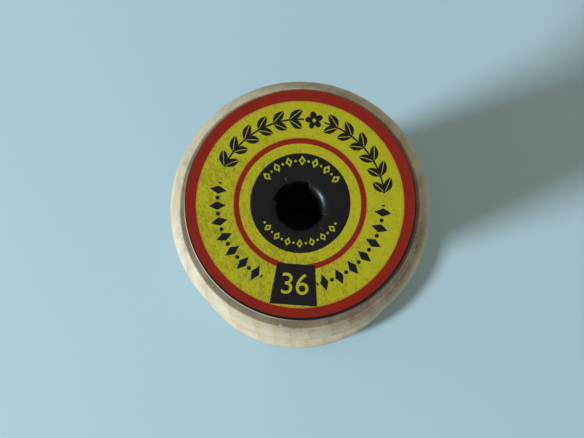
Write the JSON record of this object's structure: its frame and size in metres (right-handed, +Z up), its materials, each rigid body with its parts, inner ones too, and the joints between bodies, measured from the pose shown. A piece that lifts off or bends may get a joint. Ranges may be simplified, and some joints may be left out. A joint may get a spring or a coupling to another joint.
{
  "type": "wooden thread spool",
  "caption": "Empty turned wooden sewing-thread spool with two bevelled flanges, a bored barrel and a round paper label on one end.",
  "frame": {"origin": "centre of the lower end face, on the bore's axis", "axes": "+Z up along the bore towards the labelled end; +X to the right in the picture and +Y towards its upper edge"},
  "size_m": [0.0376, 0.0376, 0.0452],
  "materials": {
    "barrel_wood": "turned birch, bare, long grain polished by the thread",
    "flange_wood": "turned birch, bare, greyed with handling on the end face",
    "label_paper": "letterpress-printed paper in red, yellow and black, varnished and slightly glossy"
  },
  "bodies": {
    "root": {"barrel": "barrel_wood", "upper_flange": "flange_wood", "lower_flange": "flange_wood", "upper_label": "label_paper"}
  },
  "joints": []
}
